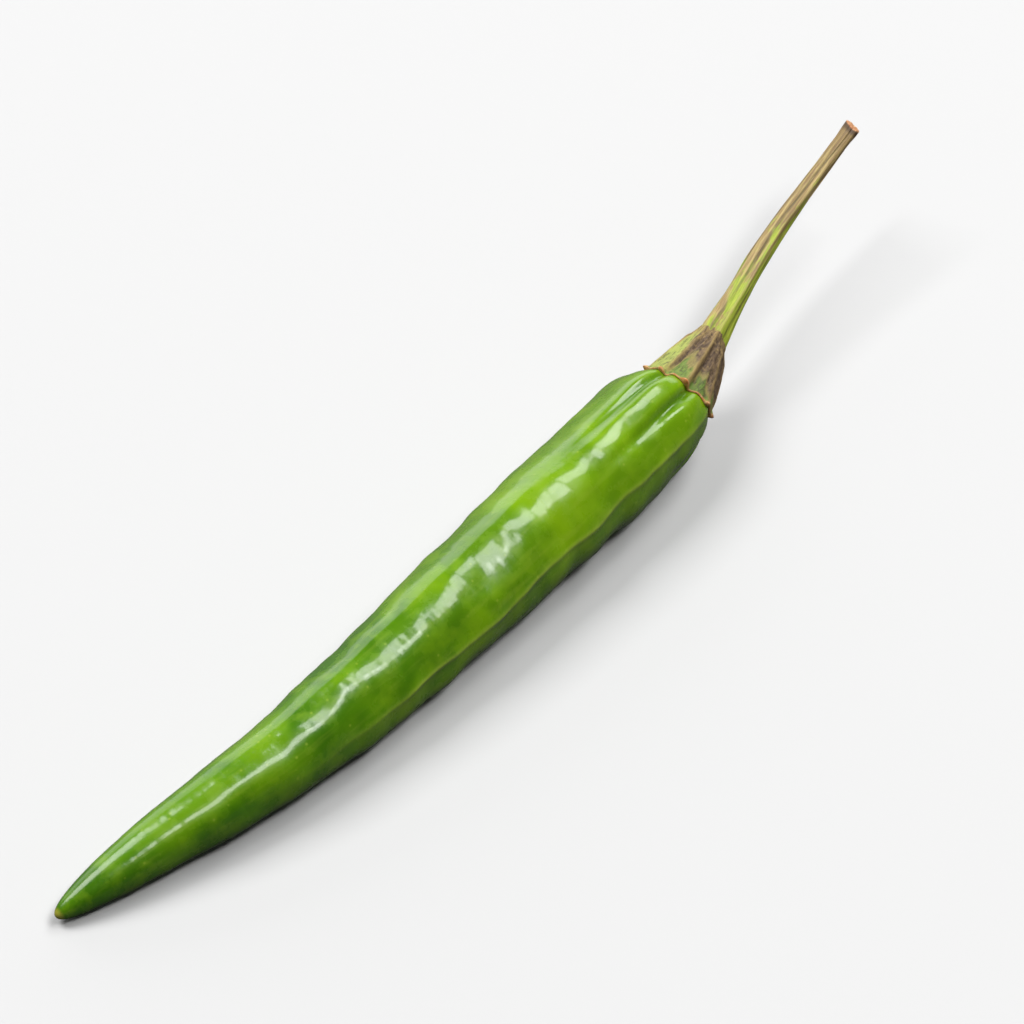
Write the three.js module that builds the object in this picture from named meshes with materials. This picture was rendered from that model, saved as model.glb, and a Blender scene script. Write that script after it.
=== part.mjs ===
// A green finger chilli pepper, as picked, lying on its side on a flat surface.
// It has three pieces: the pod, the calyx that caps the pod's shoulder, and the cut stem.
// Units are millimetres. The tip points to -X, the stem to +X, and Z is up.
import * as THREE from "three";

// Driving dimensions
const podLength = 106; // from the tip to the edge of the calyx, along X
const podWidth = 13.9; // across the widest part of the pod
const podBow = 4.7; // how far the middle of the pod swings to the side
const tipLift = 1.6; // how far the tip's end lies above the surface
const bellyPress = 0.45; // the underside is pressed flat by this much where the pod lies
const calyxLength = 10; // from the calyx's edge to its neck
const calyxRim = 0.25; // thickness of the calyx at its edge
const toothLength = 0.8; // how far each of the calyx's teeth reaches down the shoulder
const neckWidth = 3.9; // across the calyx's neck, where the stem starts
const neckRise = 2; // the neck lies this much higher than the middle of the shoulder
const stemLength = 38.2; // from the calyx's neck to the cut end, along X
const stemWidth = 2.4; // across the middle of the stem
const stemSlimmest = 1.85; // just before the cut end
const cutWidth = 2.1; // across the cut end
const stemStep = 0.12; // the stem starts this much inside the neck's edge, all round
const stemSwing = 8; // how far the cut end lies to +Y of the calyx's neck
const stemRise = 5.9; // how far the cut end lies above the calyx's neck
const clearance = 0.3; // between one piece and the next

// The pod's outline: a blunt taper from the tip to the widest place, then a rounded shoulder under the calyx.
const widestAt = 0.81; // share of podLength
const shoulderEnd = 1.032; // the shoulder closes here, under the calyx
const taperSpread = 1.31;
const taperBluntness = 0.46;
const shoulderSquareness = 8.6;
const calyxHollow = 1.1; // 1 is a straight cone from the calyx's edge to its neck

// Lobes: count round the piece, depth as a share of its radius, and turn in radians.
const chambers = { count: 3, depth: 0.018, turn: 0.6, from: 0.05, full: 0.4 };
const folds = { count: 10, depth: 0.022, turn: 0.07, from: 0.66, full: 1 };
const teeth = { count: 5, depth: 0.035, turn: 0.175, pointedness: 5 };
const stemRibs = { count: 5, depth: 0.09, turn: 0.3 };

// The spine's places along the pod. Sway is the swing to the side as a share of podBow,
// and lift is how far the underside lies above the surface.
const podPlaces = [
  { at: 0, sway: 0, lift: tipLift },
  { at: 0.12, sway: -0.46, lift: tipLift * 0.22 },
  { at: 0.3, sway: -1, lift: 0.1 },
  { at: 0.5, sway: -0.96, lift: 0 },
  { at: 0.72, sway: -0.66, lift: 0 },
  { at: 0.9, sway: -0.36, lift: 0.1 },
];
const neckSway = 0.33; // share of podBow
const stemMiddle = new THREE.Vector3(0.45, 0.55, 0.46); // shares of the stem's reach along X, Y and Z

// Facets
const podRings = 58;
const podSides = 60;
const calyxRings = 12;
const calyxSides = 50;
const stemRings = 26;
const stemSides = 20;
const spineSteps = 400;

const podEnd = shoulderEnd * podLength; // distances along the chilli are counted from the tip
const neckAt = podLength + calyxLength;
const stemStart = neckAt + clearance;
const stemEnd = neckAt + stemLength;
const { clamp, lerp, smoothstep } = THREE.MathUtils;

function lobe(angle, { count, depth, turn }) {
  return depth * Math.cos(count * (angle + turn));
}

// Mean radius of the pod at a distance from the tip.
function podRadius(distance) {
  const share = clamp(distance / podLength, 0, shoulderEnd);
  const most = podWidth / 2;
  if (share < widestAt) {
    return most * (1 - (1 - share / widestAt) ** taperSpread) ** taperBluntness;
  }
  const past = (share - widestAt) / (shoulderEnd - widestAt);
  return most * (1 - past ** shoulderSquareness);
}

// Radius of the pod's skin at a distance and an angle round the spine.
function podSkin(distance, angle) {
  const share = distance / podLength;
  const seeds = lobe(angle, chambers) * smoothstep(share, chambers.from, chambers.full);
  const gathers = lobe(angle, folds) * smoothstep(share, folds.from, folds.full);
  return podRadius(distance) * (1 + seeds + gathers);
}

// The spine: where the middle of each cross-section lies, from the tip to the cut end of the stem.
function makeSpine() {
  const points = podPlaces.map(({ at, sway, lift }) => {
    const height = podRadius(at * podLength) - bellyPress + lift;
    return new THREE.Vector3(at * podLength, sway * podBow, height);
  });
  const shoulder = new THREE.Vector3(podLength, 0, podWidth / 2);
  const neck = new THREE.Vector3(neckAt, neckSway * podBow, shoulder.z + neckRise);
  const reach = new THREE.Vector3(stemLength, stemSwing, stemRise);
  const middle = stemMiddle.clone().multiply(reach).add(neck);
  const cut = reach.clone().add(neck);
  return new THREE.CatmullRomCurve3([...points, shoulder, neck, middle, cut]);
}

// Points along the spine, each with the directions across it.
function measureSpine(spine) {
  const places = spine.getPoints(spineSteps);
  return places.map((place, i) => {
    const ahead = places[Math.min(i + 1, spineSteps)];
    const behind = places[Math.max(i - 1, 0)];
    const along = ahead.clone().sub(behind).normalize();
    const side = along.clone().cross(new THREE.Vector3(0, 0, 1)).normalize();
    const up = side.clone().cross(along).normalize();
    return { place, side, up };
  });
}

const stations = measureSpine(makeSpine());

// The spine's place and directions at a distance, found by its X.
function stationAt(distance) {
  const found = stations.findIndex(({ place }) => place.x >= distance);
  const next = clamp(found < 0 ? spineSteps : found, 1, spineSteps);
  const low = stations[next - 1];
  const high = stations[next];
  const share = (distance - low.place.x) / (high.place.x - low.place.x);
  return {
    place: low.place.clone().lerp(high.place, share),
    side: low.side.clone().lerp(high.side, share).normalize(),
    up: low.up.clone().lerp(high.up, share).normalize(),
  };
}

// A closed solid of rings round the spine. Each ring is a function that gives the distance
// and radius at an angle. The first and last rings close on the spine, and nothing goes below the surface.
function sweep(rings, sides) {
  const last = rings.length - 1;
  const outline = rings.map((ring, i) => new THREE.Vector2(i === 0 || i === last ? 0 : 1, i));
  const geometry = new THREE.LatheGeometry(outline, sides);
  const position = geometry.getAttribute("position");
  for (let i = 0; i < position.count; i += 1) {
    const across = position.getX(i);
    const above = position.getZ(i);
    const angle = Math.atan2(above, across);
    const { distance, radius } = rings[Math.round(position.getY(i))](angle);
    const { place, side, up } = stationAt(distance);
    place.addScaledVector(side, radius * across);
    place.addScaledVector(up, radius * above);
    position.setXYZ(i, place.x, place.y, Math.max(place.z, 0));
  }
  geometry.deleteAttribute("normal");
  geometry.deleteAttribute("uv");
  return geometry;
}

// Values from low to high, crowded towards both ends where the outline turns fastest.
function spread(low, high, count) {
  return Array.from({ length: count + 1 }, (unused, i) => {
    return lerp(low, high, 0.5 - 0.5 * Math.cos((Math.PI * i) / count));
  });
}

function makePod() {
  const rings = spread(0, podEnd, podRings).map((distance) => (angle) => {
    return { distance, radius: podSkin(distance, angle) };
  });
  return sweep(rings, podSides);
}

// The calyx's edge runs round the pod's shoulder and reaches down it at each tooth.
function calyxEdge(angle) {
  const wave = Math.cos((teeth.count * (angle + teeth.turn)) / 2);
  return podLength - toothLength * Math.abs(wave) ** teeth.pointedness;
}

// Inside, the calyx follows the pod's skin. It is set off both outwards and along the spine,
// so that the gap square to the sloping shoulder is the clearance.
const offset = clearance * Math.SQRT1_2;

function calyxInside(distance, angle) {
  return podSkin(distance - offset, angle) + offset;
}

function makeCalyx() {
  const shares = spread(0, 1, calyxRings);
  const inner = shares.map((share) => (angle) => {
    const distance = lerp(calyxEdge(angle), podEnd + 2 * offset, share);
    return { distance, radius: calyxInside(distance, angle) };
  });
  const outer = shares.map((share) => (angle) => {
    const edge = calyxEdge(angle);
    const wide = calyxInside(edge, angle) + calyxRim;
    const cone = lerp(neckWidth / 2, wide, (1 - share) ** calyxHollow);
    const rib = 1 + Math.max(lobe(angle, teeth), 0) * share;
    return { distance: lerp(edge, neckAt, share), radius: cone * rib };
  });
  const neckFace = () => ({ distance: neckAt, radius: 0 });
  return sweep([...inner.reverse(), ...outer, neckFace], calyxSides);
}

// Radius of the stem: flared at the calyx's neck, slimmer towards a slightly swollen cut end.
function stemRadius(distance) {
  const share = (distance - stemStart) / (stemEnd - stemStart);
  const flare = (neckWidth / 2 - stemStep - stemWidth / 2) * (1 - smoothstep(share, 0, 0.3)) ** 2;
  const slim = ((stemWidth - stemSlimmest) / 2) * smoothstep(share, 0.3, 0.9);
  const swell = ((cutWidth - stemSlimmest) / 2) * smoothstep(share, 0.9, 1);
  return stemWidth / 2 + flare - slim + swell;
}

function makeStem() {
  const sides = spread(stemStart, stemEnd, stemRings).map((distance) => (angle) => {
    return { distance, radius: stemRadius(distance) * (1 + lobe(angle, stemRibs)) };
  });
  const startFace = () => ({ distance: stemStart, radius: 0 });
  const cutFace = () => ({ distance: stemEnd, radius: 0 });
  return sweep([startFace, ...sides, cutFace], stemSides);
}

function makeMesh(name, geometry, color, roughness) {
  const material = new THREE.MeshStandardMaterial({ color, roughness, metalness: 0 });
  const mesh = new THREE.Mesh(geometry, material);
  mesh.name = name;
  return mesh;
}

const chilli = new THREE.Group();
chilli.add(makeMesh("pod", makePod(), 0x4d8a0f, 0.25));
chilli.add(makeMesh("calyx", makeCalyx(), 0x7c7a3a, 0.65));
chilli.add(makeMesh("stem", makeStem(), 0x9aa23c, 0.6));

// The origin is under the middle of the chilli, on the surface that it lies on.
const middle = new THREE.Box3().setFromObject(chilli).getCenter(new THREE.Vector3());
chilli.position.set(-middle.x, -middle.y, 0);

export default chilli;
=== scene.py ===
# A green finger chilli lying on its side: the pod, its calyx and the cut stem, on a pale studio floor.
import bmesh
import bpy
from bisect import bisect_left
from math import atan2, cos, degrees, exp, pi, radians, sin, sqrt, tau
from mathutils import Matrix, Vector, noise


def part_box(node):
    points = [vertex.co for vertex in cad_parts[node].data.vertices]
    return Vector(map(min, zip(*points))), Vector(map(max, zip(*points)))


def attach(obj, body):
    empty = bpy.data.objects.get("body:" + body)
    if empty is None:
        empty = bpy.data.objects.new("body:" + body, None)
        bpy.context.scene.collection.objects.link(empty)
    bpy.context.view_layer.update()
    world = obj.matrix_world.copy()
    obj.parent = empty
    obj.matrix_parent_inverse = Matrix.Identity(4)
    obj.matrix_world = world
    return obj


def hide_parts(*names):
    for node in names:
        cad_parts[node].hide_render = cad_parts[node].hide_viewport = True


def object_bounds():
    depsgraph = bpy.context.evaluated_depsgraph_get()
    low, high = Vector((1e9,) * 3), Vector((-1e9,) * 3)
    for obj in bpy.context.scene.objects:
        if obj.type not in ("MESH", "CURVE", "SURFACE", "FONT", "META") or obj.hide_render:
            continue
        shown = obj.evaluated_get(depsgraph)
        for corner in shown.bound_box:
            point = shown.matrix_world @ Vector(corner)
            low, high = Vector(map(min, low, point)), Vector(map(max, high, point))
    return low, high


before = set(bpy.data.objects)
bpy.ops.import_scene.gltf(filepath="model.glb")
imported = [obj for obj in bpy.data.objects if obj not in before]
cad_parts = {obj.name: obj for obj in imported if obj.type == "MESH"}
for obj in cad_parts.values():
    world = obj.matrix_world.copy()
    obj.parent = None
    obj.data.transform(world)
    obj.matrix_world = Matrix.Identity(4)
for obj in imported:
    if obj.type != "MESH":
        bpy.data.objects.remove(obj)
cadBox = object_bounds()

mm = 0.001
onAxis = 1e-7  # nearer to the axis than this is on it
podLow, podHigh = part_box("pod")
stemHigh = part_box("stem")[1]
tipX = podLow.x  # distances along the chilli are counted from the tip


def smooth(value, low, high):
    share = min(max((value - low) / (high - low), 0), 1)
    return share * share * (3 - 2 * share)


def mixed(a, b, share):
    return a + (b - a) * share


def turnBetween(angle, other):
    # from other to angle the short way round, in radians
    return (angle - other + pi) % tau - pi


def bumpAt(offset, width):
    return exp(-(offset / width) ** 2)


def roundTable(table, angle):
    # reads a table of (degrees, value) that goes once round the spine, smoothly
    place = degrees(angle) % 360
    rows = [(spot % 360, value) for spot, value in table]
    rows.sort()
    rows = [(rows[-1][0] - 360, rows[-1][1])] + rows + [(rows[0][0] + 360, rows[0][1])]
    i = bisect_left(rows, (place, -9))
    (low, a), (high, b) = rows[i - 1], rows[i]
    return mixed(a, b, smooth(place, low, high))


# all three pieces are swept along one spine, measured on the CAD pieces at these distances in mm
spinePlaces = {
    "pod": [0.05, 2, 6, 13, 22, 32, 43, 55, 67, 79, 90, 99, 105],
    "calyx": [111.5, 114],
    "stem": [118, 123, 129, 135, 141, 147, 152.5],
}


def middleOf(node, distance):
    cut = bmesh.new()
    cut.from_mesh(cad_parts[node].data)
    parts = cut.verts[:] + cut.edges[:] + cut.faces[:]
    place = (tipX + distance * mm, 0, 0)
    made = bmesh.ops.bisect_plane(cut, geom=parts, plane_co=place, plane_no=(1, 0, 0))["geom_cut"]
    rim = [part.co.copy() for part in made if isinstance(part, bmesh.types.BMVert)]
    cut.free()
    low = Vector((min(p.y for p in rim), min(p.z for p in rim)))
    high = Vector((max(p.y for p in rim), max(p.z for p in rim)))
    return (low + high) / 2


spine = [(d * mm, middleOf(node, d)) for node, places in spinePlaces.items() for d in places]
spineAt = [distance for distance, _ in spine]


def spineSlope(i):
    low, high = spine[max(i - 1, 0)], spine[min(i + 1, len(spine) - 1)]
    return (high[1] - low[1]) / (high[0] - low[0])


spineSlopes = [spineSlope(i) for i in range(len(spine))]


def middleAt(distance):
    # a smooth curve through the measured middles, and its direction
    i = min(max(bisect_left(spineAt, distance), 1), len(spine) - 1)
    start, end = spineAt[i - 1], spineAt[i]
    reach = end - start
    t = min(max((distance - start) / reach, 0), 1)
    past = distance - start - t * reach
    low, high = spine[i - 1][1], spine[i][1]
    leave, arrive = spineSlopes[i - 1] * reach, spineSlopes[i] * reach
    square = 3 * (high - low) - 2 * leave - arrive
    cube = leave + arrive - 2 * (high - low)
    slope = (leave + 2 * t * square + 3 * t * t * cube) / reach
    place = low + t * leave + t * t * square + t ** 3 * cube + slope * past
    return Vector((tipX + distance, place.x, place.y)), Vector((1, slope.x, slope.y)).normalized()


def bend(straight):
    # takes (distance, to the side, upwards) from the straight piece to its place on the spine
    middle, along = middleAt(straight.x)
    side = along.cross(Vector((0, 0, 1))).normalized()
    up = side.cross(along)
    return middle + side * straight.y + up * straight.z


def spinUp(rows, sides):
    # rows are (distance, radius) pairs, and the first and last lie on the axis
    bm = bmesh.new()
    rowLayer = bm.verts.layers.float.new("row")
    line = []
    for i, (distance, radius) in enumerate(rows):
        vert = bm.verts.new((distance, radius, 0))
        vert[rowLayer] = i
        line.append(vert)
    edges = [bm.edges.new(pair) for pair in zip(line, line[1:])]
    turned = {"cent": (0, 0, 0), "axis": (1, 0, 0), "angle": tau, "steps": sides, "use_merge": True}
    bmesh.ops.spin(bm, geom=line + edges, **turned)
    bmesh.ops.remove_doubles(bm, verts=bm.verts, dist=onAxis)
    return bm, rowLayer


def finishPiece(bm, name, settle):
    # bends the straight piece to its place, and keeps its straight form for the materials
    straightLayer = bm.verts.layers.float_vector.new("straight")
    for vert in bm.verts:
        vert[straightLayer] = vert.co
        vert.co = settle(bend(vert.co))
    bmesh.ops.recalc_face_normals(bm, faces=bm.faces)
    if bm.calc_volume(signed=True) < 0:
        bmesh.ops.reverse_faces(bm, faces=bm.faces)
    mesh = bpy.data.meshes.new(name)
    bm.to_mesh(mesh)
    bm.free()
    mesh.shade_smooth()
    piece = bpy.data.objects.new(name, mesh)
    bpy.context.scene.collection.objects.link(piece)
    return piece


pod = {
    "shoulderEnd": 1.032,  # the shoulder closes here, as a share of the length to the calyx's edge
    "widestAt": 0.81,
    "taperSpread": 1.31,
    "taperBluntness": 0.46,
    "shoulderSquareness": 8.6,
    "chambers": (3, 0.018, 0.6),  # seed chambers: count, depth as a share of the radius, turn
    "sides": 200,
    "ringGap": 0.24 * mm,
    "tipRings": 18,
    "hiddenRings": 12,
    "dents": (0.42 * mm, 4.9, 5.5),  # soft dents: depth, then size along and round the pod in mm
    "crumple": (0.085 * mm, 1.9, 2.4),  # smaller unevenness, in patches
    "patches": (13, 9),  # size of the patches along and round the pod in mm
    "ripple": (0.022 * mm, 0.75, 3.5),  # fine rings round the pod
    "facet": (120, 27, 0.45),  # a flatter side: its angle, half width and how flat
    "calmBelow": 2.6 * mm,  # radius under which dents and furrows fade out
    "roundTip": 1.2 * mm,  # the rings are closer together up to here
    "press": 0.1 * mm,  # how softly the underside meets the surface
}
# furrows run down from under the calyx: angle, depth, width and reach
furrows = [
    (92, 0.90, 6.5, 34),
    (54, 0.80, 6.5, 27),
    (-20, 0.60, 7, 16),
    (-68, 0.45, 9, 16),
    (-106, 0.55, 8, 20),
    (-146, 0.45, 8, 16),
    (176, 0.50, 8, 18),
    (136, 0.15, 9, 10),
]
# the crease is a sharp ridge from the calyx's edge down past the middle of the pod
crease = {
    "angle": 17,
    "drift": -5,  # degrees that it turns towards the tip
    "wobble": 3.0,
    "height": 0.48 * mm,
    "above": 1.6 * mm,  # how gently it slopes above and below its crest
    "below": 0.55 * mm,
    "from": 22,  # distances from the tip in mm where it starts and is full
    "full": 62,
    "crestWidth": 0.32 * mm,
}

podLength = (podHigh.x - podLow.x) / pod["shoulderEnd"]
podWidth = podHigh.z - podLow.z


def podRadius(distance):
    share = min(max(distance / podLength, 0), pod["shoulderEnd"])
    if share < pod["widestAt"]:
        rise = 1 - (1 - share / pod["widestAt"]) ** pod["taperSpread"]
        return podWidth / 2 * rise ** pod["taperBluntness"]
    past = (share - pod["widestAt"]) / (pod["shoulderEnd"] - pod["widestAt"])
    return podWidth / 2 * max(1 - past ** pod["shoulderSquareness"], 0)


def creaseOffset(distance, radius, angle):
    # how far round the skin a point lies above the crease's crest, and how strong the crease is there
    along = distance / mm
    drift = crease["drift"] * smooth(podLength / mm - along, 20, 50)
    long, short = noise.noise(Vector((along / 6, 7.7, 0))), noise.noise(Vector((along / 2.6, 1, 0)))
    wobble = crease["wobble"] * (long + 0.5 * short)
    off = radius * turnBetween(angle, radians(crease["angle"] + drift + wobble))
    unevenness = 0.8 + 0.6 * noise.noise(Vector((along / 9, 1.1, 5)))
    return off, smooth(along, crease["from"], crease["full"]) * unevenness


def furrowDepth(distance, angle):
    # in metres, at a distance from the tip and an angle round the spine
    along = distance / mm
    wander = 2.5 * noise.noise(Vector((along / 6, 3.3, 0)))
    depth = 0
    for place, deep, wide, reach in furrows:
        fade = smooth(along, podLength / mm - reach, podLength / mm - 1)
        if fade:
            off = degrees(turnBetween(angle, radians(place + wander)))
            depth += deep * mm * fade ** 1.5 * bumpAt(off, wide)
    return depth


def unevenAt(spot, along, across, shift=(0, 0, 0)):
    # noise at a spot on the skin in mm, with this size along and across the piece
    return noise.noise(Vector((spot.x / along, spot.y / across, spot.z / across)) + Vector(shift))


def podSkin(distance, angle):
    # radius of the pod's skin at a distance from the tip and an angle round the spine
    radius = podRadius(distance)
    share = distance / podLength
    count, depth, turn = pod["chambers"]
    radius *= 1 + depth * cos(count * (angle + turn)) * smooth(share, 0.05, 0.4)
    side, half, flatness = pod["facet"]
    off = abs(turnBetween(angle, radians(side)))
    calm = smooth(degrees(off), half + 12, half - 4)  # the flat side is smoother than the rest
    if off < radians(half):
        flat = cos(radians(half)) / cos(off) - 1
        radius *= 1 + flatness * flat * smooth(share, 0.1, 0.4)
    spot = Vector((distance, radius * cos(angle), radius * sin(angle))) / mm
    wide = smooth(radius, 0, pod["calmBelow"])  # everything dies away where the pod closes
    radius -= wide * furrowDepth(distance, angle)
    off, strength = creaseOffset(distance, radius, angle)
    spread = crease["above"] if off > 0 else crease["below"]
    radius += wide * crease["height"] * strength * exp(-abs(off) / spread)
    body = (smooth(share, 0.03, 0.5) * 0.7 + 0.3 * smooth(share, 0.02, 0.1)) * (1 - 0.6 * calm) * wide
    deep, *size = pod["dents"]
    radius += body * deep * unevenAt(spot, *size, shift=(4.1, 0, 2))
    deep, *size = pod["crumple"]
    patchy = mixed(0.35, 1, smooth(unevenAt(spot, *pod["patches"]), -0.35, 0.3))
    radius += body * deep * patchy * unevenAt(spot, *size)
    deep, *size = pod["ripple"]
    ends = smooth(share, 0.01, 0.1) * (1 - 0.4 * smooth(share, 0.5, 0.9))
    return radius + deep * ends * unevenAt(spot, *size)


def podPlaces():
    # distances of the rings, crowded at the tip and where the shoulder closes
    tip = pod["roundTip"]
    rings = [tip * (i / pod["tipRings"]) ** 2 for i in range(pod["tipRings"])]
    count = round((podLength - tip) / pod["ringGap"])
    rings += [mixed(tip, podLength, i / count) for i in range(count)]
    end = podLength * pod["shoulderEnd"]
    last = pod["hiddenRings"]
    return rings + [mixed(podLength, end, sin(pi / 2 * i / last)) for i in range(last + 1)]


def makePod():
    bm, _ = spinUp([(d, podRadius(d)) for d in podPlaces()], pod["sides"])
    zones = bm.verts.layers.float_vector.new("zones")  # crest of the crease and depth of the furrows, which the skin's material uses for a painted highlight on the crest and painted shade in the furrows
    for vert in bm.verts:
        if vert.co.yz.length > onAxis:
            angle = atan2(vert.co.z, vert.co.y)
            off, strength = creaseOffset(vert.co.x, vert.co.yz.length, angle)
            crestHighlight = strength * bumpAt(off, crease["crestWidth"])
            vert[zones] = (crestHighlight, furrowDepth(vert.co.x, angle) / mm, 0)
            vert.co.yz = Vector((cos(angle), sin(angle))) * podSkin(vert.co.x, angle)

    def settle(place):
        place.z = (place.z + sqrt(place.z ** 2 + pod["press"] ** 2)) / 2
        return place

    return finishPiece(bm, "pod_skin", settle)


calyx = {
    "length": 10.8 * mm,
    "wall": 0.24 * mm,
    "gap": 0.03 * mm,  # to the pod's skin
    "hollow": 0.95,
    "neck": 4.0 * mm,
    "teeth": 5,
    "turn": 0.175,
    "bigTooth": 0.25 * mm,
    "smallTooth": 0.15 * mm,
    "scallop": 0.3 * mm,  # how far the edge strays up and down between the teeth
    "lift": 0.9 * mm,  # the edge lies this far up the shoulder
    "tilt": 0.45 * mm,  # the edge hangs this much lower on one side
    "tiltTowards": 144,
    "hang": 1.9 * mm,  # and this much lower again here
    "hangTowards": 54,
    "longerTowards": 150,  # the neck reaches slightly further up the stem here
    "ribHeight": 0.30 * mm,
    "veinHeight": 0.14 * mm,
    "hollowDepth": 0.12 * mm,  # between a rib and a vein
    "wrinkle": 0.08 * mm,
    "knobHeight": 0.52 * mm,
    "sides": 280,
    "outerRows": 110,
    "innerRows": 16,
}
# how far the green of the leaf reaches up from its edge, as a share of its length, round the spine
greenReach = [
    (-22, 0.04), (-10, 0.02), (4, 0.12), (16, 0.14), (26, 0.04), (34, 0.22), (42, 0.30),
    (52, 0.26), (60, 0.05), (67, 0.34), (76, 0.42), (87, 0.38), (95, 0.16), (101, 0.66),
    (114, 0.90), (126, 0.82), (137, 0.50), (156, 0.66), (176, 0.30), (206, 0.08), (218, 0.45),
    (234, 0.4), (248, 0.2), (274, 0.04), (290, 0.34), (304, 0.30), (318, 0.10),
]
# where the leaf has turned yellow, round the spine
yellowing = [
    (-30, 0.1), (40, 0.05), (88, 0.2), (100, 0.9), (134, 1), (170, 0.6), (215, 0.2), (240, 0.7),
    (290, 0.2),
]


def toothWave(angle, half=0):
    # 1 at each big tooth, or with half at each small tooth between them
    return abs(cos(calyx["teeth"] * (angle + calyx["turn"]) / 2 + half * pi / 2))


def knobAt(angle):
    # 1 on the corky knob at each big tooth, and less on the smaller ones between
    return toothWave(angle) ** 24 + 0.7 * toothWave(angle, 1) ** 44


def unevenRound(angle, size, place=(0, 0, 0)):
    # noise that joins up round the spine, finer with a larger size
    return noise.noise(Vector((cos(angle), sin(angle), 0)) * size + Vector(place))


def calyxEdge(angle):
    # the distance from the tip where the leaf's edge lies, at an angle round the spine
    scallop = unevenRound(angle, 3.2, (0, 0, 9)) * calyx["scallop"]
    big = calyx["bigTooth"] * toothWave(angle) ** 40
    small = calyx["smallTooth"] * toothWave(angle, 1) ** 30
    lean = calyx["tilt"] * cos(angle - radians(calyx["tiltTowards"])) - calyx["lift"]
    lean += calyx["hang"] * max(cos(angle - radians(calyx["hangTowards"])), 0)
    return podLength - big - small - lean + scallop


def leafDryness(row, angle):
    # 0 where the leaf is green, towards its edge, and 1 where it has dried
    ragged = unevenRound(angle, 6, (0, 0, row * 3)) + 0.6 * unevenRound(angle, 17, (0, 0, row * 6))
    return smooth(row - roundTable(greenReach, angle) + 0.16 * ragged, -0.16, 0.16)


def calyxShape(row, angle):
    # distance and radius of the leaf at an angle, where row is -1 at the top of its inside,
    # 0 at its edge and 1 at the neck
    edge = calyxEdge(angle)
    if row < 0:
        roof = podLength * pod["shoulderEnd"] + calyx["gap"]
        distance = mixed(edge, roof, -row)
        return distance, podSkin(distance - calyx["gap"], angle) + calyx["gap"]
    ragged = 0.4 * unevenRound(angle, 1.8) + 0.8 * unevenRound(angle, 4.5)
    ragged += 0.15 * cos(angle - radians(calyx["longerTowards"]))
    distance = mixed(edge, podLength + calyx["length"] + ragged * mm, row)
    rim = podSkin(edge, angle) + calyx["gap"]
    wide = rim + calyx["wall"]
    radius = mixed(calyx["neck"] / 2, wide, (1 - row) ** calyx["hollow"])
    big, small = toothWave(angle), toothWave(angle, 1)
    middle = smooth(row, 0, 0.25) * (1 - 0.75 * smooth(row, 0.55, 1))
    radius += calyx["ribHeight"] * (0.75 * big ** 10 + 0.35 * big ** 60) * mixed(0.35, 1, middle)
    radius += calyx["veinHeight"] * small ** 20 * middle
    radius -= calyx["hollowDepth"] * small ** 2 * middle
    coarse = unevenRound(angle, 4.5, (0, 0, row * 2.2))
    fine = unevenRound(angle, 12, (0, 3, row * 3.4))
    grain = unevenRound(angle, 27, (5, 0, row * 8))
    cross = unevenRound(angle, 6, (5, 0, row * 24))
    dried = leafDryness(row, angle)
    crinkle = 0.6 * coarse + mixed(0.35, 1, dried) * (fine + 0.45 * grain + 0.35 * cross)
    radius += calyx["wrinkle"] * crinkle * smooth(row, 0, 0.08)
    radius += calyx["knobHeight"] * knobAt(angle) * bumpAt(row - 0.03, 0.045)
    onStem = stemShape(distance, angle) + mm * mixed(0.12, -0.06, smooth(row, 0.9, 1))
    radius = mixed(radius, onStem, smooth(row, 0.72, 0.98))  # the neck thins out over the stem
    lip = min(row / 0.03, 1)
    lift = sqrt(1 - (1 - lip) ** 2)
    return distance, mixed(rim, radius, lift)


def makeCalyx():
    inner = [-sin(pi / 2 * i / calyx["innerRows"]) for i in range(calyx["innerRows"], 0, -1)]
    outer = [(i / calyx["outerRows"]) ** 1.25 for i in range(calyx["outerRows"] + 1)]
    rows = inner + outer
    last = len(rows)
    line = [(0, 0)] + [(i * mm, mm) for i in range(1, last)] + [(last * mm, 0)]
    bm, rowLayer = spinUp(line, calyx["sides"])
    zones = bm.verts.layers.float_vector.new("zones")  # dryness, rib and share of the length
    tints = bm.verts.layers.float_vector.new("tints")  # yellowness and knobs
    for vert in bm.verts:
        row = rows[min(round(vert[rowLayer]), last - 1)]
        angle = atan2(vert.co.z, vert.co.y)
        distance, radius = calyxShape(row, angle)
        if vert.co.yz.length < onAxis:
            distance, radius = calyxShape(row, 0)[0], 0
        vert.co = (distance, radius * cos(angle), radius * sin(angle))
        rib = toothWave(angle) ** 90 + 0.7 * toothWave(angle, 1) ** 120
        vert[zones] = (leafDryness(row, angle), rib, max(row, 0))
        vert[tints] = (roundTable(yellowing, angle), knobAt(angle) * bumpAt(max(row, 0), 0.06), 0)
    return finishPiece(bm, "calyx_leaf", lambda place: place)


stem = {
    "sunk": 1.0 * mm,  # how far it starts inside the calyx's neck
    "base": 3.8 * mm,
    "middle": 2.6 * mm,
    "slim": 1.85 * mm,
    "cut": 2.1 * mm,
    "ribs": 5,
    "ribDepth": 0.09,
    "ribTurn": 0.3,
    "slant": 1.0 * mm,  # the cut faces this much to one side
    "slantTowards": 54,
    "sides": 120,
    "rings": 400,
    "shortOfCad": 0.1 * mm,  # the cut's rounded edge makes up for this
    "brownTowards": 118.3,
}
# the cut face from its edge to its middle: how far it stands out in mm, and its share of the radius
cutFaceRows = [
    (0.05, 0.95),
    (0.06, 0.86),
    (0.02, 0.76),
    (-0.03, 0.6),
    (-0.06, 0.42),
    (-0.05, 0.22),
    (-0.05, 0),
]
stemEnd = stemHigh.x - tipX - stem["shortOfCad"]


def stemShare(distance):
    start = podLength + calyx["length"]
    return (distance - start) / (stemEnd - start)


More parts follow.
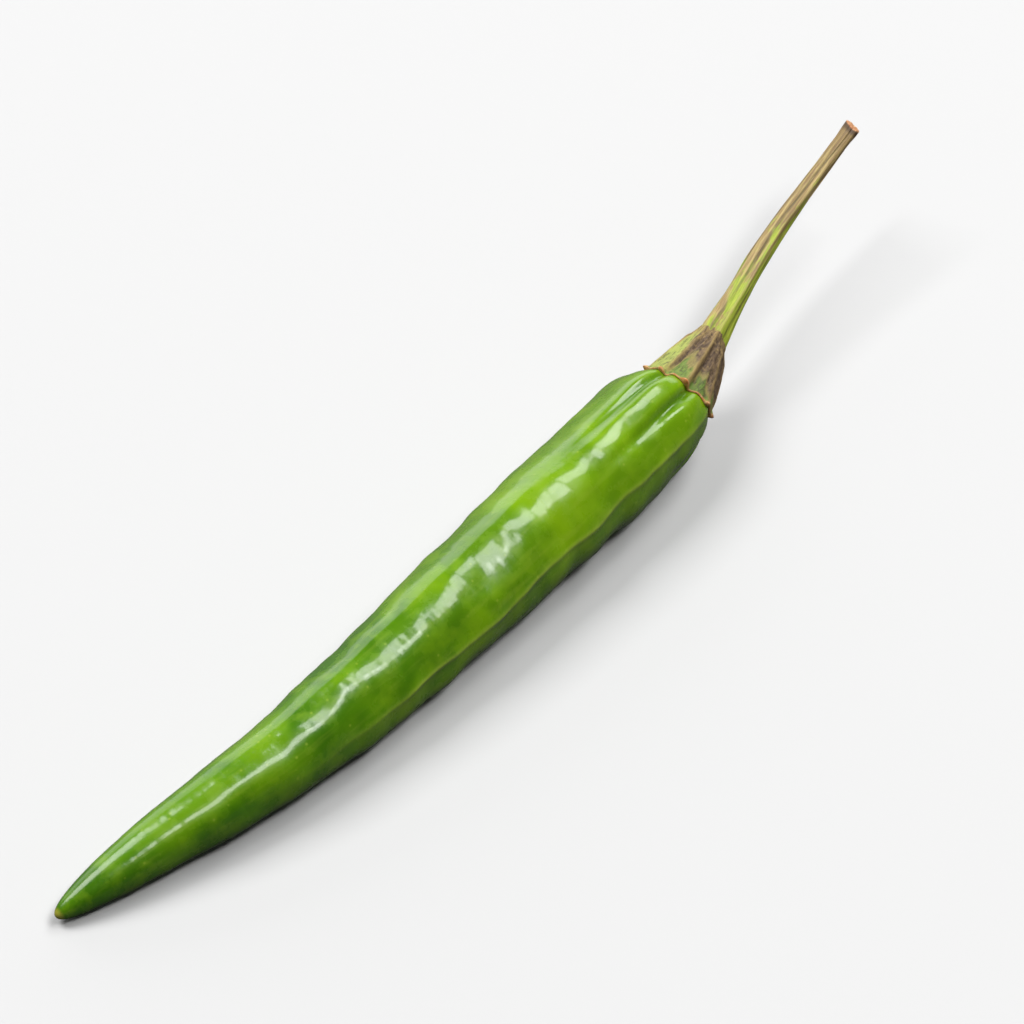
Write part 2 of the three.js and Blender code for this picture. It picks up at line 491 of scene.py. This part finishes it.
def stemRib(share, angle):
    # 1 on the crest of each rib and -1 in the groove between two
    wander = 0.25 * noise.noise(Vector((share * 5, 2.2, 0)))
    return cos(stem["ribs"] * (angle + stem["ribTurn"] + share * 0.5 + wander))


def stemShape(distance, angle):
    share = stemShare(distance)
    radius = stem["middle"] / 2
    radius += (stem["base"] - stem["middle"]) / 2 * (1 - smooth(share, -0.06, 0.34)) ** 2
    radius -= (stem["middle"] - stem["slim"]) / 2 * smooth(share, 0.2, 0.92)
    radius += (stem["cut"] - stem["slim"]) / 2 * smooth(share, 0.92, 0.985)
    rib = stemRib(share, angle)
    radius *= 1 + stem["ribDepth"] * (rib if rib > 0 else -(rib ** 2) * 1.1)
    along = distance / mm
    grooves = unevenRound(angle, 3.4, (0, 0, along / 14))
    fibres = unevenRound(angle, 8, (0, 5, along / 5))
    knots = unevenRound(angle, 1.2, (0, 9, along / 4))
    return radius + mm * (0.07 * grooves + 0.04 * fibres + 0.05 * knots)


def makeStem():
    start = podLength + calyx["length"] - stem["sunk"]
    places = [mixed(start, stemEnd, i / stem["rings"]) for i in range(stem["rings"] + 1)]
    rows = [(start, 0)] + [(place, 1) for place in places]
    rows += [(stemEnd + lift * mm, share) for lift, share in cutFaceRows]
    bm, _ = spinUp(rows, stem["sides"])
    zones = bm.verts.layers.float_vector.new("zones")  # rib, brownness and share of the length
    for vert in bm.verts:
        angle = atan2(vert.co.z, vert.co.y)
        wide = vert.co.yz.length
        share = stemShare(vert.co.x)
        radius = stemShape(min(vert.co.x, stemEnd), angle) * wide
        vert[zones] = (stemRib(share, angle), cos(angle - radians(stem["brownTowards"])), share)
        lean = stem["slant"] * wide * cos(angle - radians(stem["slantTowards"]))
        vert.co.x -= lean * smooth(share, 0.90, 0.998)
        if share > 0.998:  # the cut face itself
            vert.co.x += 0.05 * mm * unevenRound(angle, 2, (0, 0, wide * 3))
        vert.co.yz = Vector((cos(angle), sin(angle))) * radius
    return finishPiece(bm, "stem_stalk", lambda place: place)


def newMaterial(name):
    material = bpy.data.materials.new(name)
    material.use_nodes = True
    tree = material.node_tree
    return material, tree, tree.nodes["Principled BSDF"]


def plug(tree, socket, value):
    if isinstance(value, bpy.types.NodeSocket):
        tree.links.new(value, socket)
    else:
        socket.default_value = value


def straightOf(tree, scale=(1, 1, 1), shift=(0, 0, 0)):
    # the piece's own straight coordinates in millimetres, stretched by scale
    source = tree.nodes.new("ShaderNodeAttribute")
    source.attribute_name = "straight"
    place = tree.nodes.new("ShaderNodeMapping")
    place.inputs["Location"].default_value = shift
    place.inputs["Scale"].default_value = [1000 * part for part in scale]
    tree.links.new(source.outputs["Vector"], place.inputs["Vector"])
    return place.outputs["Vector"]


def grainOn(tree, vector, size, detail=2, roughness=0.5, warp=0):
    made = tree.nodes.new("ShaderNodeTexNoise")
    plug(tree, made.inputs["Vector"], vector)
    made.inputs["Scale"].default_value = 1 / size
    made.inputs["Detail"].default_value = detail
    made.inputs["Roughness"].default_value = roughness
    made.inputs["Distortion"].default_value = warp
    return made.outputs["Fac"]


def spotsOn(tree, vector, size):
    made = tree.nodes.new("ShaderNodeTexVoronoi")
    plug(tree, made.inputs["Vector"], vector)
    made.inputs["Scale"].default_value = 1 / size
    return made.outputs["Distance"]


def calc(tree, operation, a, b):
    made = tree.nodes.new("ShaderNodeMath")
    made.operation = operation
    plug(tree, made.inputs[0], a)
    plug(tree, made.inputs[1], b)
    return made.outputs[0]


def fade(tree, value, low, high, start=0.0, end=1.0):
    made = tree.nodes.new("ShaderNodeMapRange")
    made.interpolation_type = "SMOOTHSTEP"
    plug(tree, made.inputs["Value"], value)
    for name, number in (("From Min", low), ("From Max", high), ("To Min", start), ("To Max", end)):
        made.inputs[name].default_value = number
    return made.outputs["Result"]


def blend(tree, share, a, b):
    made = tree.nodes.new("ShaderNodeMix")
    made.data_type = "RGBA"
    plug(tree, made.inputs[0], share)
    plug(tree, made.inputs[6], a if isinstance(a, bpy.types.NodeSocket) else (*a, 1))
    plug(tree, made.inputs[7], b if isinstance(b, bpy.types.NodeSocket) else (*b, 1))
    return made.outputs[2]


def parts(tree, vector):
    made = tree.nodes.new("ShaderNodeSeparateXYZ")
    tree.links.new(vector, made.inputs[0])
    return made.outputs


def bumped(tree, shader, height, depth):
    made = tree.nodes.new("ShaderNodeBump")
    made.inputs["Distance"].default_value = depth
    tree.links.new(height, made.inputs["Height"])
    tree.links.new(made.outputs["Normal"], shader.inputs["Normal"])


def zonesOf(tree, layer="zones"):
    source = tree.nodes.new("ShaderNodeAttribute")
    source.attribute_name = layer
    return parts(tree, source.outputs["Vector"])


podColours = {
    "deep": (0.040, 0.140, 0.0007),
    "green": (0.085, 0.225, 0.0008),
    "bright": (0.190, 0.350, 0.0015),
    "pale": (0.320, 0.440, 0.045),
    "tip": (0.440, 0.410, 0.050),
}


def podMaterial():
    material, tree, shader = newMaterial("glossy green skin")
    skin = straightOf(tree)
    along = parts(tree, skin)[0]
    patches = grainOn(tree, skin, 9, detail=2.5, roughness=0.55, warp=0.4)
    small = grainOn(tree, straightOf(tree, shift=(31, 7, 0)), 2.6, detail=3, roughness=0.6)
    streaks = grainOn(tree, straightOf(tree, scale=(0.1, 1, 1)), 0.8, detail=2)
    crestHighlight, furrowShade, _ = zonesOf(tree)
    colour = blend(tree, fade(tree, patches, 0.32, 0.62), podColours["deep"], podColours["green"])
    light = calc(tree, "MULTIPLY", fade(tree, patches, 0.42, 0.72), fade(tree, along, 8, 60, 0.2, 0.8))
    colour = blend(tree, light, colour, podColours["bright"])
    colour = blend(tree, fade(tree, along, 30, 95, 0, 0.45), colour, podColours["bright"])
    colour = blend(tree, fade(tree, small, 0.42, 0.72, 0, 0.4), colour, podColours["bright"])
    colour = blend(tree, fade(tree, streaks, 0.5, 0.72, 0, 0.14), colour, podColours["pale"])
    flecks = spotsOn(tree, straightOf(tree, shift=(3, 1, 4)), 1.7)
    colour = blend(tree, fade(tree, flecks, 0.14, 0.04, 0, 0.4), colour, podColours["pale"])
    # painted shade: the skin is darkened in the furrows
    colour = blend(tree, fade(tree, furrowShade, 0.05, 0.7, 0, 0.6), colour, podColours["deep"])
    # painted highlight: a pale line along the crease's crest
    colour = blend(tree, calc(tree, "MULTIPLY", crestHighlight, 0.8), colour, podColours["pale"])
    colour = blend(tree, fade(tree, along, 0.8, 0.15, 0, 0.9), colour, podColours["tip"])
    tree.links.new(colour, shader.inputs["Base Color"])
    shader.inputs["IOR"].default_value = 1.35
    shader.inputs["Subsurface Weight"].default_value = 0.06
    shader.inputs["Subsurface Radius"].default_value = (0.5, 1, 0.1)
    shader.inputs["Subsurface Scale"].default_value = 1.5 * mm
    shader.inputs["Coat Weight"].default_value = 0.6
    shader.inputs["Coat Roughness"].default_value = 0.1
    shader.inputs["Coat IOR"].default_value = 1.4
    tree.links.new(fade(tree, small, 0.3, 0.7, 0.2, 0.34), shader.inputs["Roughness"])
    peel = grainOn(tree, skin, 0.35, detail=2)
    ripple = grainOn(tree, straightOf(tree, scale=(1, 0.2, 0.2)), 0.5, detail=1)
    bumped(tree, shader, calc(tree, "ADD", peel, ripple), 0.012 * mm)
    return material


leafColours = {
    "yellow": (0.34, 0.40, 0.085),
    "green": (0.12, 0.20, 0.030),
    "dried": (0.16, 0.105, 0.058),
    "dark": (0.055, 0.033, 0.020),
    "tan": (0.40, 0.28, 0.095),
    "rust": (0.50, 0.17, 0.045),
    "cream": (0.60, 0.37, 0.17),
}


def calyxMaterial():
    material, tree, shader = newMaterial("dried calyx leaf")
    dry, rib, share = zonesOf(tree)
    drawnOut = straightOf(tree, scale=(0.14, 1, 1))
    fibres = grainOn(tree, drawnOut, 0.36, detail=4, roughness=0.7, warp=0.3)
    cloud = grainOn(tree, straightOf(tree, shift=(9, 3, 3)), 2.2, detail=3, roughness=0.6, warp=0.5)
    speck = grainOn(tree, straightOf(tree, shift=(2, 8, 1)), 0.5, detail=3, roughness=0.7)
    turned, knob, _ = zonesOf(tree, "tints")
    yellow = calc(tree, "ADD", turned, calc(tree, "MULTIPLY", cloud, 0.5))
    leaf = blend(tree, fade(tree, yellow, 0.3, 1.1), leafColours["green"], leafColours["yellow"])
    leaf = blend(tree, fade(tree, fibres, 0.54, 0.36, 0, 0.7), leaf, leafColours["dark"])
    leaf = blend(tree, fade(tree, fibres, 0.52, 0.72, 0, 0.5), leaf, leafColours["tan"])
    dried = blend(tree, fade(tree, fibres, 0.36, 0.62), leafColours["dark"], leafColours["dried"])
    dried = blend(tree, fade(tree, speck, 0.5, 0.75, 0, 0.45), dried, leafColours["tan"])
    colour = blend(tree, dry, leaf, dried)
    edgeOfDry = calc(tree, "MULTIPLY", fade(tree, dry, 0.1, 0.45), fade(tree, dry, 0.95, 0.6))
    colour = blend(tree, calc(tree, "MULTIPLY", edgeOfDry, 0.35), colour, leafColours["tan"])
    colour = blend(tree, calc(tree, "MULTIPLY", rib, 0.55), colour, leafColours["tan"])
    neck = calc(tree, "MULTIPLY", fade(tree, share, 0.66, 1.0, 0, 0.6), fade(tree, fibres, 0.36, 0.7))
    colour = blend(tree, neck, colour, leafColours["tan"])
    rimColour = blend(tree, fade(tree, speck, 0.35, 0.65), leafColours["rust"], leafColours["cream"])
    rimColour = blend(tree, fade(tree, cloud, 0.60, 0.70, 0, 0.8), rimColour, leafColours["dark"])
    colour = blend(tree, fade(tree, share, 0.035, 0.01, 0, 0.85), colour, rimColour)
    colour = blend(tree, fade(tree, knob, 0.2, 0.5), colour, rimColour)
    tree.links.new(colour, shader.inputs["Base Color"])
    shader.inputs["IOR"].default_value = 1.38
    tree.links.new(fade(tree, cloud, 0.3, 0.7, 0.5, 0.75), shader.inputs["Roughness"])
    bumped(tree, shader, fibres, 0.08 * mm)
    return material


stemColours = {
    "yellow": (0.40, 0.46, 0.05),
    "green": (0.23, 0.31, 0.02),
    # painted shade for the grooves between the ribs
    "grooveShade": (0.075, 0.055, 0.015),
    "brown": (0.23, 0.145, 0.055),
    "tan": (0.47, 0.36, 0.145),
    "dark": (0.045, 0.020, 0.010),
    "pith": (0.62, 0.38, 0.20),
    "cut": (0.47, 0.17, 0.06),
}


def stemMaterial():
    material, tree, shader = newMaterial("ribbed stem")
    rib, side, share = zonesOf(tree)
    fibres = grainOn(tree, straightOf(tree, scale=(0.05, 1, 1)), 0.3, detail=4, roughness=0.65)
    drawnOut = straightOf(tree, scale=(0.22, 1, 1), shift=(0, 4, 1))
    cloud = grainOn(tree, drawnOut, 0.9, detail=3, roughness=0.6)
    colour = blend(tree, fade(tree, fibres, 0.35, 0.65), stemColours["green"], stemColours["yellow"])
    far = fade(tree, share, 0.05, 0.85, -0.12, 0.24)
    flank = calc(tree, "MULTIPLY", side, fade(tree, share, 0.1, 0.7, 0.17, 0.05))
    brown = calc(tree, "ADD", calc(tree, "ADD", cloud, far), flank)
    aged = blend(tree, fade(tree, fibres, 0.38, 0.66), stemColours["brown"], stemColours["tan"])
    colour = blend(tree, fade(tree, brown, 0.46, 0.62), colour, aged)
    # painted shade: darker in the grooves between the ribs, broken into streaks
    grooveShade = calc(tree, "MULTIPLY", fade(tree, rib, -0.5, -1.0), fade(tree, cloud, 0.3, 0.6, 0.2, 0.75))
    colour = blend(tree, grooveShade, colour, stemColours["grooveShade"])
    # painted highlight: paler along the crests of the ribs
    crestHighlight = calc(tree, "MULTIPLY", fade(tree, rib, 0.75, 1.0), 0.35)
    colour = blend(tree, crestHighlight, colour, stemColours["tan"])
    colour = blend(tree, fade(tree, share, 0.80, 0.97, 0, 0.65), colour, stemColours["brown"])
    colour = blend(tree, fade(tree, share, 0.955, 0.985, 0, 0.8), colour, stemColours["dark"])
    speck = grainOn(tree, straightOf(tree, shift=(3, 6, 2)), 0.5, detail=3)
    cutFace = blend(tree, fade(tree, speck, 0.35, 0.65), stemColours["cut"], stemColours["pith"])
    colour = blend(tree, fade(tree, share, 0.992, 0.999), colour, cutFace)
    tree.links.new(colour, shader.inputs["Base Color"])
    shader.inputs["IOR"].default_value = 1.4
    tree.links.new(fade(tree, fibres, 0.3, 0.7, 0.42, 0.62), shader.inputs["Roughness"])
    bumped(tree, shader, fibres, 0.06 * mm)
    return material


stage = {
    "floorSize": 8,
    "floorColour": (0.54, 0.54, 0.54),
    "floorBounce": (0.07, 0.07, 0.07),  # the floor as the chilli sees it, darker, as if among others
    "azimuth": -49.5,
    "elevation": 42,
    "lens": 180,
    "distance": 0.60,
    "worldStrength": 0.06,
    "worldSeen": 0.92,  # how bright the world looks behind the floor
}
# name, azimuth and elevation in degrees, distance, width and height, and how bright its face is
lamps = [
    ("softbox", 64, 62, 2.4, (0.5, 1.3), 10.5),
    ("tipBox", 17, 60, 2.4, (1.25, 0.55), 12.0),
    ("neckBox", 93, 48, 2.4, (0.8, 0.8), 8.5),
    ("backWall", 142, 16, 2.6, (4.6, 1.5), 1.5),
    ("topLight", 195, 57, 2.4, (1.3, 1.3), 9.0),
]


def direction(azimuth, elevation):
    # from the object towards a place round it: azimuth 0 is in front, at -Y
    a, e = radians(azimuth), radians(elevation)
    return Vector((sin(a) * cos(e), -cos(a) * cos(e), sin(e)))


def makeFloor():
    bm = bmesh.new()
    bmesh.ops.create_grid(bm, x_segments=8, y_segments=8, size=stage["floorSize"] / 2)
    mesh = bpy.data.meshes.new("floor")
    bm.to_mesh(mesh)
    bm.free()
    floor = bpy.data.objects.new("floor", mesh)
    bpy.context.scene.collection.objects.link(floor)
    material, tree, shader = newMaterial("pale floor")
    seen = tree.nodes.new("ShaderNodeLightPath")
    colour = blend(tree, seen.outputs["Is Camera Ray"], stage["floorBounce"], stage["floorColour"])
    tree.links.new(colour, shader.inputs["Base Color"])
    shader.inputs["Roughness"].default_value = 0.75
    shader.inputs["Specular IOR Level"].default_value = 0.2
    mesh.materials.append(material)


def facing(back):
    # turns an object's Z to back, with its X as near along the chilli as that allows
    across = back.cross(Vector((1, 0, 0))).normalized()
    return Matrix((across.cross(back), across, back)).transposed().to_quaternion()


def addLight(name, azimuth, elevation, distance, size, glow, aim):
    # glow is how bright the light's face is, next to a white floor at 1
    light = bpy.data.lights.new(name, "AREA")
    light.shape = "RECTANGLE"
    light.size, light.size_y = size
    light.energy = glow * pi * size[0] * size[1]
    lamp = bpy.data.objects.new(name, light)
    back = direction(azimuth, elevation)
    lamp.location = aim + back * distance
    lamp.rotation_mode = "QUATERNION"
    lamp.rotation_quaternion = facing(back)
    lamp.visible_camera = False
    bpy.context.scene.collection.objects.link(lamp)


def makeWorld():
    world = bpy.data.worlds.new("studio")
    world.use_nodes = True
    tree = world.node_tree
    seen = tree.nodes.new("ShaderNodeLightPath")
    background = tree.nodes["Background"]
    background.inputs["Color"].default_value = (1, 1, 1, 1)
    strength = tree.nodes.new("ShaderNodeMapRange")
    strength.inputs["To Min"].default_value = stage["worldStrength"]
    strength.inputs["To Max"].default_value = stage["worldSeen"]
    tree.links.new(seen.outputs["Is Camera Ray"], strength.inputs["Value"])
    tree.links.new(strength.outputs["Result"], background.inputs["Strength"])
    bpy.context.scene.world = world


def makeCamera(aim):
    camera = bpy.data.objects.new("camera", bpy.data.cameras.new("camera"))
    camera.data.lens = stage["lens"]
    back = direction(stage["azimuth"], stage["elevation"])
    camera.location = aim + back * stage["distance"]
    camera.rotation_mode = "QUATERNION"
    camera.rotation_quaternion = (-back).to_track_quat("-Z", "Y")
    camera.data.clip_start, camera.data.clip_end = 0.01, 20
    bpy.context.scene.collection.objects.link(camera)
    bpy.context.scene.camera = camera


podPiece = makePod()
podPiece.data.materials.append(podMaterial())
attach(podPiece, "root")
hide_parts("pod")
print("pod:", len(podPiece.data.polygons), "faces")

calyxPiece = makeCalyx()
calyxPiece.data.materials.append(calyxMaterial())
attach(calyxPiece, "root")
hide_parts("calyx")
print("calyx:", len(calyxPiece.data.polygons), "faces")

stemPiece = makeStem()
stemPiece.data.materials.append(stemMaterial())
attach(stemPiece, "root")
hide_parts("stem")
print("stem:", len(stemPiece.data.polygons), "faces")

aim = (cadBox[0] + cadBox[1]) / 2
makeFloor()
makeWorld()
for lamp in lamps:
    addLight(*lamp, aim)
makeCamera(aim)
bpy.context.scene.view_settings.view_transform = "Standard"
print("stage: floor,", len(lamps), "lights and the camera")
